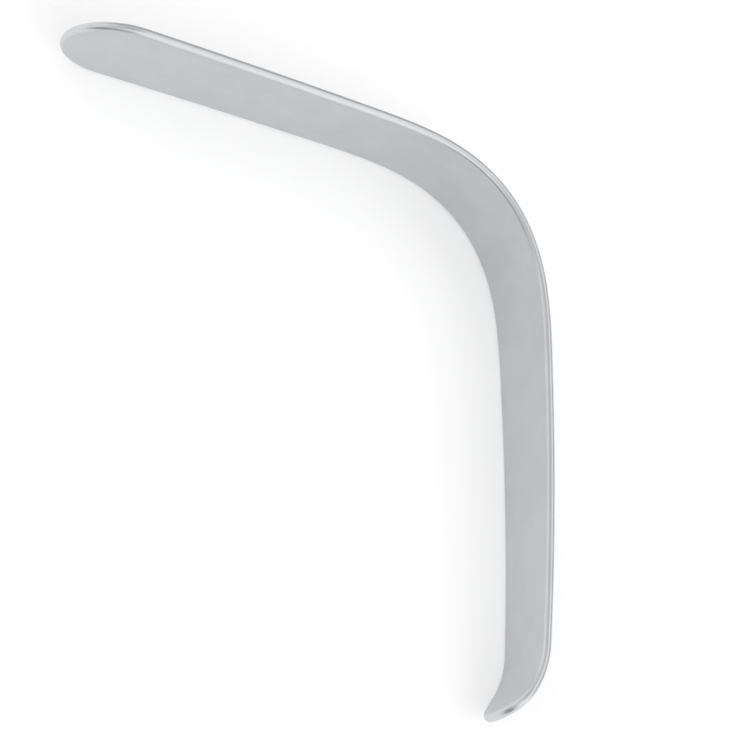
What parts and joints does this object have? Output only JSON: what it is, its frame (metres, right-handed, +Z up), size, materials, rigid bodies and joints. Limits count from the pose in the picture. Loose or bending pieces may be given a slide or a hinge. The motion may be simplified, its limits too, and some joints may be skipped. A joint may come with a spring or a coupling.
{
  "type": "tongue depressor",
  "caption": "Angled tongue depressor: a tapered strip of satin steel, bent between handle and blade, with round ends, rounded edges and a curled lip.",
  "frame": {"origin": "under the middle of the part's bounding box, on the surface it lies on", "axes": "+Z up from the surface, across the width of the strip; +X along the handle towards the bend; -Y along the blade towards the lip"},
  "size_m": [0.1164, 0.1148, 0.0236],
  "materials": {
    "satin_steel": "fine bead-blasted satin, even all over"
  },
  "bodies": {
    "root": {"depressor": "satin_steel"}
  },
  "joints": []
}
